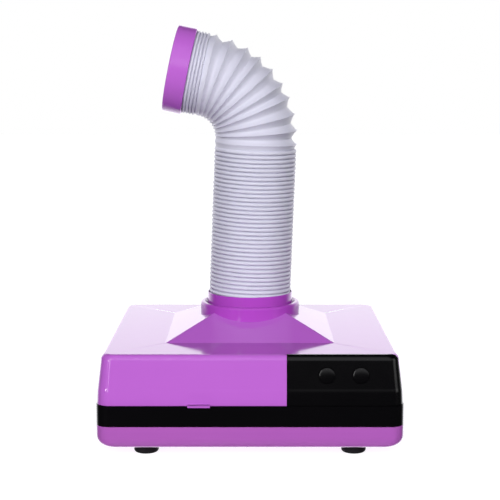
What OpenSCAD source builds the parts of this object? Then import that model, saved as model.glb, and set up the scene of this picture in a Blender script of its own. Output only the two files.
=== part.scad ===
// Desk nail dust collector: a square housing with a dust drawer, a control panel,
// a centrifugal fan inside, and a bellows hose that turns, stretches and bends.
// The origin is at the centre of the footprint, on the surface that the feet stand on.
// +X is to the right of the user, the drawer and the panel face -Y, and +Z is up.

/* [Housing] */
// Width and depth of the base
body_w = 274; // [268:1:280]
// Height of the top plate above the table
top_z = 94; // [92:1:98]
// Height of the line between the middle frame and the upper housing
upper_z = 49; // [48:0.5:49.5]
// Height of the line between the base pan and the middle frame
band_z = 30; // [28:1:32]
// Gap between the table and the base pan
foot_h = 9; // [8:0.5:10]
// Radius of the upright corners of the base
corner_r = 12; // [8:1:16]
// Radius of the bottom edge of the base pan
pan_edge_r = 12; // [8:1:14]
// Wall of the housing mouldings
wall = 2.6; // [2:0.1:3]
// Width of the visible line between two panels
seam = 0.2; // [0.1:0.05:0.4]

/* [Front] */
// Where the drawer front ends and the control panel begins
split_x = 32.5; // [31:0.5:36]
// Tilt of the upper part of the front, in degrees from upright
face_tilt = 6.15; // [5:0.05:7]
// Height of the crease along the sides and the front
crease_z = 62; // [60:0.5:64]
// Distance of the middle of the buttons from the centre plane
button_x = 83; // [80:1:86]
// Distance between the two buttons
button_pitch = 30; // [26:1:34]
// Height of the button centres
button_z = 76; // [74:0.5:78]
// Radius of a button cap
button_r = 7; // [6:0.25:8]
// How far a button goes in
button_travel = 1.2; // [0.8:0.1:1.4]
// Centre of the pull tab along the drawer front
tab_x = -45.4; // [-60:0.2:-30]
// Width of the pull tab
tab_w = 20; // [14:1:30]

/* [Hood and collar] */
// Half the width of the square pyramid where it meets the top plate
hood_half = 78; // [74:1:80]
// Rise of the pyramid's faces for each millimetre inwards
hood_slope = 0.458; // [0.44:0.002:0.48]
// Outer radius of the collar
collar_r = 48; // [47:0.5:49]
// Height of the top of the collar's rim
collar_top = 121; // [120:0.5:122]

/* [Hose] */
// Outer radius of the sleeve that turns in the collar
cuff_r = 41.1; // [41:0.05:41.15]
// Height of the sleeve's upper end
cuff_top = 130; // [128:0.5:132]
// Radius of the hose over its ridges
hose_r = 39.6; // [39:0.1:39.7]
// Lean of the upright stretch of the hose, in degrees to the right
hose_lean = 2.2; // [0:0.1:3]
// Height of the point where the hose begins to bend
bend_z = 278; // [270:1:286]
// Radius of the bend, measured to the middle of the hose
bend_r = 59.5; // [58:0.5:62]
// Angle that the hose bends through
bend_angle = 80.4; // [70:0.2:86]
// Straight length after the bend
neck_l = 16.3; // [14:0.1:18]
// Distance between ridges where the hose is pushed together
ring_pitch = 4.03; // [3.8:0.01:4.2]
// Number of pulled-out pleats round the bend
pleats = 10; // [9:1:11]
// Outer radius of the nozzle ring
nozzle_r = 41.6; // [41:0.1:42]
// Length of the nozzle ring
nozzle_l = 18.8; // [18:0.1:20]
// Radius of the nozzle's mouth
mouth_r = 38; // [37:0.1:38.4]

/* [Fan] */
// Distance of the fan from the centre plane
fan_x = 80; // [78:1:82]
// Distance of the fan behind the middle
fan_y = 20; // [16:1:24]
// Radius of the fan wheel
wheel_r = 33; // [31:0.5:34]
// Number of blades
blades = 24; // [16:1:30]

/* [Hidden] */
$fn = 96;
half = body_w / 2;
purple = [0.66, 0.32, 0.74];
deep_purple = [0.6, 0.24, 0.68];
black = [0.05, 0.05, 0.06];
grey = [0.55, 0.56, 0.58];
steel = [0.75, 0.76, 0.78];
rubber = [0.1, 0.1, 0.1];
hose_white = [0.85, 0.84, 0.92];

// Thickness of the flat outlines that a hull joins
slice = 0.05;

// Outer half-widths at each height, from the upper housing's foot to the top plate
shoulder_z = top_z - 6;
crease_half = half - 1.6;
shoulder_half = crease_half - (shoulder_z - crease_z) * tan(face_tilt);
upper_levels = [
    [upper_z, half - 0.8],
    [crease_z, crease_half],
    [shoulder_z, shoulder_half],
    for (a = [30:30:90]) [shoulder_z + 6 * sin(a), shoulder_half - 4.6 * (1 - cos(a))]
];
seam_y = -(half - 10.5);
front_wall_y = seam_y + seam;

// Drawer and tray
tray_left = -127;
tray_right = split_x - 4.5;
tray_rear = 50;
tray_floor = 50;
tray_rim = 86;
tray_wall = 1.8;
window_x = [-118, 19];
window_y = [-58, 42];
filter_h = 12;
tray_screw_x = [-100, -48, 4];

// Collar and chute
neck_r = 43.5;
ledge_z = 103;
chute_z = 98;
duct_r = 38;
roof_under = top_z - wall;

// Fan
scroll_z = 50;
scroll_top = 79;
plate = 2;
duct_x = [fan_x + 13, fan_x + 43];
duct_end = 130;
shaft_r = 3;
ear_angles = [125, 235, 315];
ear_r = 48.5;
can_r = 21;
can_z = 22;

// Hose
trunk_end = 111;
axis_x = sin(hose_lean);
axis_z = cos(hose_lean);
straight_l = (bend_z - cuff_top) / axis_z;
bend_start = [straight_l * axis_x, bend_z];
bend_centre = bend_start - bend_r * [axis_z, -axis_x];
neck_angle = bend_angle - hose_lean;
bend_end = bend_centre + bend_r * [cos(neck_angle), sin(neck_angle)];
neck_dir = [-sin(neck_angle), cos(neck_angle)];
arc_l = bend_r * bend_angle * PI / 180;
hose_wall = 0.9;
pleat_from = -8.3;
pleat_l = arc_l + 12;

screw_spots = [[-112, -112], [112, -112], [-112, 112], [112, 112]];
top_screw_spots = [[-118, 118], [84, 118], [118, -104], [36, -100]];
foot_spots = [[-94, -107], [94, -107], [-94, 107], [94, 107]];
board_z = 20;
board_top = board_z + 1.6;
board_x = [-115, -25];
board_y = [60, 103];
board_screw_spots = [
    for (x = [board_x[0] + 4, board_x[1] - 4], y = [board_y[0] + 4, board_y[1] - 4]) [x, y]
];

// A square with round corners, as a polygon
function rounded(h, r) = [
    for (q = [0:3]) for (a = [0:15:90])
        let (c = h - r, sx = [1, -1, -1, 1][q], sy = [1, 1, -1, -1][q])
        [sx * c + r * cos(q * 90 + a), sy * c + r * sin(q * 90 + a)]
];

module slab(z, h, r) {
    translate([0, 0, z]) linear_extrude(slice) polygon(rounded(h, r));
}

// One smooth block through a list of [height, half-width] levels, exact at its first and last
module lofted(levels, inset = 0) {
    hull() for (i = [0:len(levels) - 1]) let (z = levels[i][0], w = levels[i][1])
        slab(z - (i == 0 ? 0 : slice), w - inset, max(2, corner_r - inset - (half - w) * 0.3));
}

module box(x, y, z) {
    translate([x[0], y[0], z[0]]) cube([x[1] - x[0], y[1] - y[0], z[1] - z[0]]);
}

module post(x, y, z, r) {
    translate([x, y, z[0]]) cylinder(r = r, h = z[1] - z[0]);
}

// A pan-head screw pointing up, with the underside of its head at z
module screw(x, y, z, l, r = 1.5, head = 3, head_h = 2) {
    post(x, y, [z, z + l], r);
    post(x, y, [z - head_h, z], head);
}

// Places its children on the tilted front face, with +Z pointing out of it
module on_front(x, z) {
    translate([x, -(crease_half - (z - crease_z) * tan(face_tilt)), z])
        rotate([90 - face_tilt, 0, 0]) children();
}

// The same on the rear face
module on_rear(x, z) {
    translate([x, crease_half - (z - crease_z) * tan(face_tilt), z])
        rotate([face_tilt - 90, 0, 0]) children();
}

// ---------- Housing ----------

// The pan as a block, rounded in plan and along its bottom edge, made smaller by inset
module pan_block(inset) {
    w = half - inset;
    r = pan_edge_r - inset;
    low = foot_h + inset;
    high = band_z + inset;
    profile = [
        [-w, high], for (a = [0:10:90]) [-w + r * (1 - cos(a)), low + r * (1 - sin(a))],
        for (a = [90:-10:0]) [w - r * (1 - cos(a)), low + r * (1 - sin(a))], [w, high]
    ];
    intersection() {
        translate([0, 0, low]) linear_extrude(high - low) polygon(rounded(w, corner_r - inset));
        rotate([90, 0, 0]) translate([0, 0, -200]) linear_extrude(400) polygon(profile);
        rotate([90, 0, 90]) translate([0, 0, -200]) linear_extrude(400) polygon(profile);
    }
}

module base_pan() {
    color(purple) {
        difference() {
            union() {
                difference() {
                    pan_block(0);
                    pan_block(wall);
                }
                for (s = screw_spots) post(s[0], s[1], [foot_h + 0.5, band_z + 4], 5);
                for (a = ear_angles)
                    post(fan_x + ear_r * cos(a), fan_y + ear_r * sin(a), [foot_h + 1, 44], 5);
                for (s = board_screw_spots) post(s[0], s[1], [foot_h + 1, board_z], 3.5);
            }
            for (s = screw_spots) {
                post(s[0], s[1], [foot_h - 1, band_z + 5], 1.8);
                post(s[0], s[1], [foot_h - 1, foot_h + 7], 3.6);
            }
            for (s = foot_spots) post(s[0], s[1], [foot_h - 1, foot_h + 5], 3.05);
            for (a = ear_angles)
                post(fan_x + ear_r * cos(a), fan_y + ear_r * sin(a), [30, 46], 1.55);
            for (s = board_screw_spots) post(s[0], s[1], [12, board_z + 1], 1.25);
        }
    }
}

module mid_frame() {
    deck = [upper_z - 2.6, upper_z];
    color(black) difference() {
        union() {
            difference() {
                translate([0, 0, band_z]) linear_extrude(upper_z - band_z) polygon(rounded(half, corner_r));
                translate([0, 0, band_z - 1]) linear_extrude(deck[0] - band_z + 1)
                    polygon(rounded(half - wall, corner_r - wall));
            }
            for (s = screw_spots) post(s[0], s[1], [band_z + 4, upper_z - 2], 5);
        }
        box(window_x, window_y, [deck[0] - 1, upper_z + 1]);
        box([44, 128], [-96, 98], [deck[0] - 1, upper_z + 1]);
        for (s = screw_spots) post(s[0], s[1], [band_z + 3, upper_z - 4], 1.55);
        for (s = top_screw_spots) post(s[0], s[1], [deck[0] - 1, upper_z + 1], 1.8);
        box([-101.1, -78.9], [half - wall - 1, half + 1], [33.4, 45.6]);
    }
}

// The pyramid between two heights, moved down by drop
module pyramid(low, high, drop = 0) {
    h0 = hood_half - (low + drop - top_z) / hood_slope;
    h1 = hood_half - (high + drop - top_z) / hood_slope;
    intersection() {
        rotate([90, 0, 0]) translate([0, 0, -200]) linear_extrude(400)
            polygon([[-h0, low], [h0, low], [h1, high], [-h1, high]]);
        rotate([90, 0, 90]) translate([0, 0, -200]) linear_extrude(400)
            polygon([[-h0, low], [h0, low], [h1, high], [-h1, high]]);
    }
}

module top_housing() {
    color(purple) difference() {
        union() {
            difference() {
                lofted(upper_levels);
                translate([0, 0, -wall]) lofted(upper_levels, wall);
                box([-200, 200], [-200, front_wall_y], [upper_z - 1, top_z + 1]);
            }
            // wall behind the drawer front and the control panel
            intersection() {
                lofted(upper_levels);
                box([-half, half], [front_wall_y, front_wall_y + wall], [upper_z, top_z - 1]);
            }
            difference() {
                pyramid(top_z - 0.5, 115.4);
                pyramid(top_z - 6, 108, 2.8);
            }
            // seat for the collar inside the pyramid
            intersection() {
                pyramid(top_z - 0.5, 115.4);
                post(0, 0, [chute_z, 116], 52);
            }
            for (s = top_screw_spots) post(s[0], s[1], [upper_z, roof_under + 0.5], s[0] == 36 ? 3.2 : 5);
        }
        // opening in the roof below the pyramid
        box([-75, 75], [-75, 75], [roof_under - 1, top_z - 0.6]);
        // recess that the collar sits in
        post(0, 0, [107.5, 130], collar_r + 0.05);
        translate([0, 0, 105]) cylinder(r1 = neck_r + 0.05, r2 = collar_r + 0.05, h = 2.5);
        post(0, 0, [90, 130], neck_r + 0.05);
        // drawer bay, panel window, exhaust port and screw holes
        box([tray_left - 1, tray_right + 1], [-150, front_wall_y + wall + 1], [upper_z - 1, tray_rim + 1]);
        on_front(button_x, button_z) translate([-38, -11, -22]) cube([76, 20, 20]);
        on_rear((duct_x[0] + duct_x[1]) / 2, 65) translate([-14.1, -11.1, -8]) cube([28.2, 22.2, 12]);
        for (s = top_screw_spots) post(s[0], s[1], [upper_z - 1, upper_z + 14], 1.55);
    }
}

// The part of the housing's outline in front of the seam, between two X values
module front_shell(x) {
    difference() {
        intersection() {
            lofted(upper_levels);
            box(x, [-200, seam_y], [upper_z, top_z + 1]);
        }
        intersection() {
            lofted(upper_levels, wall);
            box([x[0] < 0 ? -half + 4 : x[0] + wall, x[1] > 100 ? half - 4 : x[1] - wall],
                [-200, seam_y + 1], [upper_z + wall, top_z - wall]);
        }
    }
}

module control_panel() {
    color(black) difference() {
        union() {
            front_shell([split_x + seam / 2, 200]);
            on_front(button_x, button_z) for (x = [-30, 30])
                translate([x, 0, -12.4]) cylinder(r = 2.4, h = 11);
        }
        for (s = [-1, 1]) on_front(button_x + s * button_pitch / 2, button_z)
            translate([0, 0, -8]) cylinder(r = button_r + 0.25, h = 20);
        on_front(button_x, button_z) for (x = [-30, 30])
            translate([x, 0, -13]) cylinder(r = 1.25, h = 8);
    }
}

module collar() {
    color(deep_purple) rotate_extrude() polygon([
        [duct_r + 0.5, chute_z], [neck_r, chute_z], [neck_r, 105], [collar_r, 107.5],
        [collar_r, 117], [collar_r - 0.6, 119], [collar_r - 1.6, 120.4], [collar_r - 2.8, collar_top],
        [45, collar_top - 0.2], [cuff_r + 0.1, 117.5], [cuff_r + 0.1, ledge_z], [duct_r + 0.5, ledge_z]
    ]);
}

module inlet_chute() {
    color(grey) difference() {
        union() {
            box([-124.8, 80], [-84, 80], [roof_under - 2.4, roof_under]);
            post(0, 0, [roof_under - 1, chute_z], duct_r + 3);
        }
        intersection() {
            post(0, 0, [80, chute_z + 1], duct_r);
            box([-60, tray_right - 6], [-60, 60], [80, chute_z + 1]);
        }
        post(0, 0, [roof_under + 0.5, chute_z + 1], duct_r);
    }
}

module tray_seal() {
    color(rubber) difference() {
        box([tray_left + 0.5, tray_right - 0.5], [-82, tray_rear - 0.5],
            [tray_rim + 0.4, roof_under - 2.4]);
        box([tray_left + 4.5, tray_right - 4.5], [-78, tray_rear - 4.5], [tray_rim - 1, roof_under]);
    }
}

module foot(s) {
    color(rubber) translate([s[0], s[1], 0]) rotate_extrude() polygon([
        [0, 0], [9.4, 0], [10.6, 1], [11.2, 3], [11.2, foot_h],
        [3, foot_h], [3, foot_h + 4], [0, foot_h + 4]
    ]);
}

module drawer_rail(x) {
    color(grey) {
        box(x, [-118, 64], [upper_z, upper_z + 10]);
        for (y = [-90, 0, 56]) box(x, [y, y + 8], [upper_z + 9, upper_z + 14]);
    }
}

module base_screws() {
    color(steel) for (s = screw_spots) screw(s[0], s[1], foot_h + 7, 27, 1.5, 3.4, 2.4);
}

module top_screws() {
    color(steel) for (s = top_screw_spots) screw(s[0], s[1], upper_z - 2.6, 14, 1.5, 3, 2);
}

// ---------- Fan ----------

// Outline of the spiral and its outlet duct, grown by g
module scroll_outline(g) {
    translate([fan_x, fan_y]) polygon([
        for (a = [0:10:360]) (wheel_r + 2.5 + g + 7.5 * a / 360) * [cos(a), sin(a)]
    ]);
    translate([duct_x[0] - g, fan_y]) square([duct_x[1] - duct_x[0] + 2 * g, duct_end - fan_y]);
}

module scroll_casing() {
    color(black) difference() {
        union() {
            translate([0, 0, scroll_z]) linear_extrude(scroll_top - scroll_z) scroll_outline(plate);
            for (a = ear_angles) post(fan_x + ear_r * cos(a), fan_y + ear_r * sin(a),
                                      [scroll_z, scroll_z + 3], 6.5);
        }
        translate([0, 0, scroll_z + plate]) linear_extrude(40) scroll_outline(0);
        box([duct_x[0], duct_x[1]], [duct_end - 3, duct_end + 1], [scroll_z + plate, scroll_top + 1]);
        post(fan_x, fan_y, [scroll_z - 1, scroll_z + 9], 8);
        for (a = ear_angles) post(fan_x + ear_r * cos(a), fan_y + ear_r * sin(a),
                                  [scroll_z - 1, scroll_z + 9], 1.8);
        for (x = [-14, 14]) post(fan_x + x, fan_y, [scroll_z - 1, scroll_z + 9], 1.3);
    }
}

module scroll_cover() {
    color(black) difference() {
        union() {
            translate([0, 0, scroll_top]) linear_extrude(plate) scroll_outline(plate);
            post(fan_x, fan_y, [scroll_top, scroll_top + 6], 25);
        }
        post(fan_x, fan_y, [scroll_top - 1, scroll_top + 9], 23);
    }
}

module scroll_screws() {
    color(steel) for (a = ear_angles)
        translate([fan_x + ear_r * cos(a), fan_y + ear_r * sin(a), scroll_z + 3]) mirror([0, 0, 1])
            screw(0, 0, 0, 17, 1.5, 3, 2);
}

module motor_pads() {
    color(rubber) for (a = ear_angles) difference() {
        post(fan_x + ear_r * cos(a), fan_y + ear_r * sin(a), [44, scroll_z], 5.5);
        post(fan_x + ear_r * cos(a), fan_y + ear_r * sin(a), [43, scroll_z + 1], 1.8);
    }
}

module motor() {
    color(steel) difference() {
        union() {
            post(fan_x, fan_y, [can_z, scroll_z], can_r);
            post(fan_x, fan_y, [scroll_z - 1, scroll_z + 3], 7);
            post(fan_x, fan_y, [can_z - 3, can_z + 1], 7);
        }
        post(fan_x, fan_y, [can_z - 1, scroll_z + 9], shaft_r + 0.05);
        for (x = [-14, 14]) post(fan_x + x, fan_y, [scroll_z - 7, scroll_z + 1], 1.25);
    }
}

module motor_screws() {
    color(steel) for (x = [-14, 14]) translate([fan_x + x, fan_y, scroll_z + plate]) mirror([0, 0, 1])
        screw(0, 0, 0, 7, 1.2, 2.4, 1.4);
}

module motor_shaft() {
    color(steel) post(fan_x, fan_y, [can_z, scroll_top - 4], shaft_r);
}

module impeller() {
    z0 = scroll_z + plate + 3;
    color(grey) difference() {
        union() {
            post(fan_x, fan_y, [z0, z0 + 1.6], wheel_r);
            post(fan_x, fan_y, [z0, z0 + 14], 8);
            for (i = [0:blades - 1]) translate([fan_x, fan_y, z0 + 1]) rotate(i * 360 / blades)
                translate([wheel_r - 9, 0, 0]) rotate(24) cube([9, 1.2, 19.5]);
            difference() {
                post(fan_x, fan_y, [z0 + 20, z0 + 21.6], wheel_r);
                post(fan_x, fan_y, [z0 + 19, z0 + 23], wheel_r - 10);
            }
        }
        post(fan_x, fan_y, [z0 - 1, z0 + 20], shaft_r + 0.02);
    }
}

module impeller_nut() {
    z0 = scroll_z + plate + 17;
    color(steel) difference() {
        translate([fan_x, fan_y, z0]) cylinder(r = 5.5, h = 4, $fn = 6);
        post(fan_x, fan_y, [z0 - 1, z0 + 5], shaft_r + 0.02);
    }
}

module exhaust_grille() {
    color(black) on_rear((duct_x[0] + duct_x[1]) / 2, 65) difference() {
        union() {
            translate([-14, -11, -wall]) cube([28, 22, wall]);
            translate([-16.5, -13.5, 0]) cube([33, 27, 1.2]);
        }
        for (i = [-3:3]) translate([i * 3.8 - 1.2, -9.5, -5]) cube([2.4, 19, 10]);
    }
}

// ---------- Electrics ----------

module power_board() {
    color([0.1, 0.35, 0.2]) difference() {
        box(board_x, board_y, [board_z, board_top]);
        for (s = board_screw_spots) post(s[0], s[1], [board_z - 1, board_top + 1], 1.8);
    }
}

module board_parts() {
    color([0.85, 0.75, 0.2]) {
        box([-80, -54], [70, 92], [board_top, 40]);
        box([-46, -38], [64, 99], [board_top, 36]);
    }
    color(black) {
        post(-98, 72, [board_top, 36], 6);
        post(-98, 85, [board_top, 34], 5);
        box([-106, -90], [93, 101], [board_top, 33]);
    }
}

module board_screws() {
    color(steel) for (s = board_screw_spots)
        translate([s[0], s[1], board_top]) mirror([0, 0, 1]) screw(0, 0, 0, 8, 1.2, 2.6, 1.6);
}

module power_socket() {
    color(black) difference() {
        union() {
            box([-101, -79], [118, half], [33.5, 45.5]);
            box([-103.5, -76.5], [half, half + 1.6], [31.2, 47.8]);
        }
        for (x = [-94.2, -85.8]) translate([x, half + 5, 39.5])
            rotate([90, 0, 0]) cylinder(r = 4.2, h = 17);
        box([-94.2, -85.8], [half - 12, half + 5], [37, 42]);
    }
    color(steel) for (x = [-94.2, -85.8])
        translate([x, half - 1, 39.5]) rotate([90, 0, 0]) cylinder(r = 1.2, h = 12);
}

module control_board() {
    color([0.1, 0.35, 0.2]) on_front(button_x, button_z) difference() {
        translate([-35, -9, -14]) cube([70, 17, 1.6]);
        for (x = [-30, 30]) translate([x, 0, -15]) cylinder(r = 1.6, h = 4);
    }
}

module control_screws() {
    color(steel) on_front(button_x, button_z) for (x = [-30, 30]) {
        translate([x, 0, -14]) cylinder(r = 1.2, h = 8);
        translate([x, 0, -15.6]) cylinder(r = 2.6, h = 1.6);
    }
}

module tact_switches() {
    color(steel) for (s = [-1, 1]) on_front(button_x + s * button_pitch / 2, button_z) {
        translate([-3, -3, -12.4]) cube([6, 6, 3.4]);
        translate([0, 0, -9]) cylinder(r = 1.7, h = 1.5);
    }
}

module button(x) {
    color(black) on_front(x, button_z) rotate_extrude() polygon([
        [0, -6.25], [2, -6.25], [2, -4], [button_r + 1.4, -4], [button_r + 1.4, -3],
        [button_r, -3], [button_r, 0.3],
        for (a = [0:10:80]) [button_r * cos(a), 0.3 + 1.6 * sin(a)],
        [0, 1.9]
    ]);
}

// ---------- Drawer ----------

module drawer_front() {
    color(purple) {
        difference() {
            union() {
                front_shell([-200, split_x - seam / 2]);
                for (x = tray_screw_x) translate([x, seam_y, 68])
                    rotate([90, 0, 0]) cylinder(r = 3.5, h = 6);
            }
            for (x = tray_screw_x) translate([x, seam_y + 1, 68])
                rotate([90, 0, 0]) cylinder(r = 1.25, h = 6);
        }
        // pull tab: a ledge along the bottom edge with a lip in front of the middle frame
        tab = [tab_x - tab_w / 2, tab_x + tab_w / 2];
        box(tab, [-half - 1.6, -half + 2], [upper_z + 0.2, upper_z + 1.9]);
        box(tab, [-half - 1.6, -half - 0.3], [upper_z - 1.2, upper_z + 1.9]);
    }
}

module drawer_tray() {
    color(grey) difference() {
        box([tray_left, tray_right], [seam_y, tray_rear], [tray_floor, tray_rim]);
        box([tray_left + tray_wall, tray_right - tray_wall], [seam_y + tray_wall, tray_rear - tray_wall],
            [tray_floor + tray_wall, tray_rim + 1]);
        for (i = [0:10]) box([window_x[0] + 5 + i * 11.8, window_x[0] + 14 + i * 11.8],
                             [window_y[0] + 5, window_y[1] - 5], [tray_floor - 1, tray_floor + 5]);
        for (x = tray_screw_x) translate([x, seam_y + 5, 68])
            rotate([90, 0, 0]) cylinder(r = 1.6, h = 10);
    }
}

module drawer_screws() {
    color(steel) for (x = tray_screw_x) {
        translate([x, seam_y + tray_wall, 68]) rotate([90, 0, 0]) cylinder(r = 1.2, h = 6);
        translate([x, seam_y + tray_wall + 1.6, 68]) rotate([90, 0, 0]) cylinder(r = 2.8, h = 1.6);
    }
}

module filter_frame() {
    z0 = tray_floor + tray_wall;
    color(grey) difference() {
        box([window_x[0], window_x[1]], window_y, [z0, z0 + filter_h]);
        box([window_x[0] + 3, window_x[1] - 3], [window_y[0] + 3, window_y[1] - 3],
            [z0 - 1, z0 + filter_h + 1]);
    }
}

// Zigzag sheet, with its pleats across the drawer
module filter_media() {
    z0 = tray_floor + tray_wall + 0.5;
    n = 44;
    x0 = window_x[0] + 3.2;
    step = (window_x[1] - window_x[0] - 6.4) / n;
    color([0.93, 0.93, 0.9]) translate([0, window_y[1] - 3.2, z0]) rotate([90, 0, 0])
        linear_extrude(window_y[1] - window_y[0] - 6.4) polygon([
            for (i = [0:n]) [x0 + i * step, (i % 2) * 9.4],
            for (i = [n:-1:0]) [x0 + i * step, (i % 2) * 9.4 + 1.6]
        ]);
}

// ---------- Hose ----------

module hose_cuff() {
    color(deep_purple) rotate_extrude() polygon([
        [36, ledge_z + 0.2], [cuff_r, ledge_z + 0.2], [cuff_r, cuff_top - 0.6], [cuff_r - 0.5, cuff_top],
        [hose_r + 0.7, cuff_top], [hose_r + 0.5, 114], [36, 114]
    ]);
}

// Bellows, pushed together: rings along the leaning axis
module hose_trunk() {
    n = floor((trunk_end + 12) / ring_pitch);
    z0 = trunk_end - n * ring_pitch;
    color(hose_white) translate([0, 0, cuff_top]) rotate([0, hose_lean, 0]) rotate_extrude() polygon([
        for (i = [0:n - 1]) each [[hose_r - 1.9, z0 + i * ring_pitch],
                                  [hose_r, z0 + (i + 0.5) * ring_pitch]],
        [hose_r - 1.9, trunk_end],
        [hose_r - 1.9 - hose_wall, trunk_end],
        for (i = [n - 1:-1:0]) each [[hose_r - hose_wall, z0 + (i + 0.5) * ring_pitch],
                                     [hose_r - 1.9 - hose_wall, z0 + i * ring_pitch]]
    ]);
}

// Middle line of the hose in the XZ plane, s millimetres past the start of the bend
function line_angle(s) = s < 0 ? -hose_lean : s > arc_l ? neck_angle : -hose_lean + s / bend_r * 180 / PI;
function line_point(s) =
    s < 0 ? bend_start + s * [axis_x, axis_z]
    : s > arc_l ? bend_end + (s - arc_l) * neck_dir
    : bend_centre + bend_r * [cos(line_angle(s)), sin(line_angle(s))];

// Where the ridges and valleys lie: [distance along the line, radius]
lower_n = 7;
lower_l = pleat_from - (trunk_end - straight_l);
neck_n = 4;
neck_from = pleat_from + pleat_l;
neck_end = arc_l + neck_l + 6;
folds = [
    for (i = [0:lower_n - 1]) each [[trunk_end - straight_l + i * lower_l / lower_n, hose_r - 1.9],
                                    [trunk_end - straight_l + (i + 0.5) * lower_l / lower_n, hose_r]],
    for (i = [0:pleats - 1]) each [[pleat_from + i * pleat_l / pleats, hose_r - (i == 0 ? 1.9 : 4.4)],
                                   [pleat_from + (i + 0.5) * pleat_l / pleats, hose_r]],
    for (i = [0:neck_n - 1]) each [[neck_from + i * (neck_end - neck_from) / neck_n, hose_r - 1.9],
                                   [neck_from + (i + 0.5) * (neck_end - neck_from) / neck_n, hose_r]],
    [neck_end, hose_r - 1.9]
];

module hose_elbow() {
    sides = 32;
    n = len(folds);
    skin = function (s, r) [
        for (j = [0:sides - 1]) let (p = line_point(s), t = line_angle(s), a = j * 360 / sides)
            [p[0] + r * cos(a) * cos(t), r * sin(a), p[1] + r * cos(a) * sin(t)]
    ];
    points = [
        for (f = folds) each skin(f[0], f[1]),
        for (f = folds) each skin(f[0], f[1] - hose_wall)
    ];
    q = function (ring, j) ring * sides + j % sides;
    faces = [
        for (i = [0:n - 2]) for (j = [0:sides - 1]) each [
            [q(i, j), q(i + 1, j), q(i + 1, j + 1)], [q(i, j), q(i + 1, j + 1), q(i, j + 1)],
            [q(n + i, j), q(n + i + 1, j + 1), q(n + i + 1, j)],
            [q(n + i, j), q(n + i, j + 1), q(n + i + 1, j + 1)]
        ],
        for (j = [0:sides - 1]) each [
            [q(0, j), q(0, j + 1), q(n, j + 1)], [q(0, j), q(n, j + 1), q(n, j)],
            [q(n - 1, j), q(2 * n - 1, j + 1), q(n - 1, j + 1)],
            [q(n - 1, j), q(2 * n - 1, j), q(2 * n - 1, j + 1)]
        ]
    ];
    color(hose_white) polyhedron(points, faces);
}

module nozzle_ring() {
    start = line_point(arc_l + neck_l);
    color(purple) translate([start[0], 0, start[1]]) rotate([0, -neck_angle, 0]) rotate_extrude() polygon([
        [hose_r + 0.3, 0], [nozzle_r - 0.5, 0], [nozzle_r, 0.5], [nozzle_r, nozzle_l - 1.2],
        [nozzle_r - 1.2, nozzle_l], [mouth_r + 0.6, nozzle_l], [mouth_r, nozzle_l - 0.6],
        [mouth_r, 8], [hose_r + 0.3, 7]
    ]);
}

base_pan();
mid_frame();
top_housing();
control_panel();
collar();
inlet_chute();
tray_seal();
foot(foot_spots[0]);  // foot_front_left
foot(foot_spots[1]);  // foot_front_right
foot(foot_spots[2]);  // foot_rear_left
foot(foot_spots[3]);  // foot_rear_right
drawer_rail([tray_left - 2.2, tray_left - 0.3]);  // drawer_rail_left
drawer_rail([tray_right + 0.3, tray_right + 2.2]);  // drawer_rail_right
motor();
motor_pads();
motor_screws();
scroll_casing();
scroll_cover();
scroll_screws();
exhaust_grille();
power_board();
board_parts();
board_screws();
power_socket();
control_board();
tact_switches();
control_screws();
base_screws();
top_screws();
drawer_front();
drawer_tray();
drawer_screws();
filter_frame();
filter_media();
button(button_x - button_pitch / 2);  // power_button
button(button_x + button_pitch / 2);  // speed_button
impeller();
motor_shaft();
impeller_nut();
hose_cuff();
hose_trunk();
hose_elbow();
nozzle_ring();
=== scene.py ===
# Desk nail dust collector: a purple and black housing with a dust drawer and two buttons,
# and a white bellows hose that turns in a collar on top and ends in a purple nozzle ring.
# Lengths in the script are millimetres until build() puts them into a mesh in metres.
import math

import bmesh
import bpy
import numpy as np
from mathutils import Matrix, Vector


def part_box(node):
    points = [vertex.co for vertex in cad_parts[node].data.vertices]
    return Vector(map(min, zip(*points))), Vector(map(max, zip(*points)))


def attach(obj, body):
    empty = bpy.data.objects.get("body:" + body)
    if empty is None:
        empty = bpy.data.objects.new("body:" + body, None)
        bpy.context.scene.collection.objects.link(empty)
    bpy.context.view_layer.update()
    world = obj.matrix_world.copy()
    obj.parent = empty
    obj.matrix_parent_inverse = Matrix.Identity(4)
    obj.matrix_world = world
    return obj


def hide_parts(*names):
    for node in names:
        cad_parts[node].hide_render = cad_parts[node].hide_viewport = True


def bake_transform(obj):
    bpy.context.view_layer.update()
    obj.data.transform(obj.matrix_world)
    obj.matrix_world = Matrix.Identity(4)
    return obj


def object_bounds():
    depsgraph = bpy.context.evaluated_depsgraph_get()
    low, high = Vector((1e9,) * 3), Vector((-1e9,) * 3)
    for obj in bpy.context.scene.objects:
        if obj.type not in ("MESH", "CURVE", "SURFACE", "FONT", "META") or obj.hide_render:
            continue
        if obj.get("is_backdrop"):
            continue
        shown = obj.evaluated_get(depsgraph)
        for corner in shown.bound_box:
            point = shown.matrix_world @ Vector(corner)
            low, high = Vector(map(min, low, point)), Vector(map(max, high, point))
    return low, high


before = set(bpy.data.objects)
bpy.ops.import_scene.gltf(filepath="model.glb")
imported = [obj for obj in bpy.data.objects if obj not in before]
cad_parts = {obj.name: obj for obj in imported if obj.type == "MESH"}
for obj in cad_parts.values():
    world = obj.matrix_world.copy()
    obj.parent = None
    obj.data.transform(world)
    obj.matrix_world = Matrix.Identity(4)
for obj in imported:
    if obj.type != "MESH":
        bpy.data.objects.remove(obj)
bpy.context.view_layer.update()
scene = bpy.context.scene


# ---------- Camera ----------
# A long lens in front of the object, a little above the bend of the hose and tipped down.
camera = bpy.data.objects.new("camera", bpy.data.cameras.new("camera"))
camera.data.lens = 96.5
camera.location = (0, -1.291, 0.3412)
camera.rotation_euler = (math.radians(82.45), 0, 0)
scene.collection.objects.link(camera)
scene.camera = camera


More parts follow.
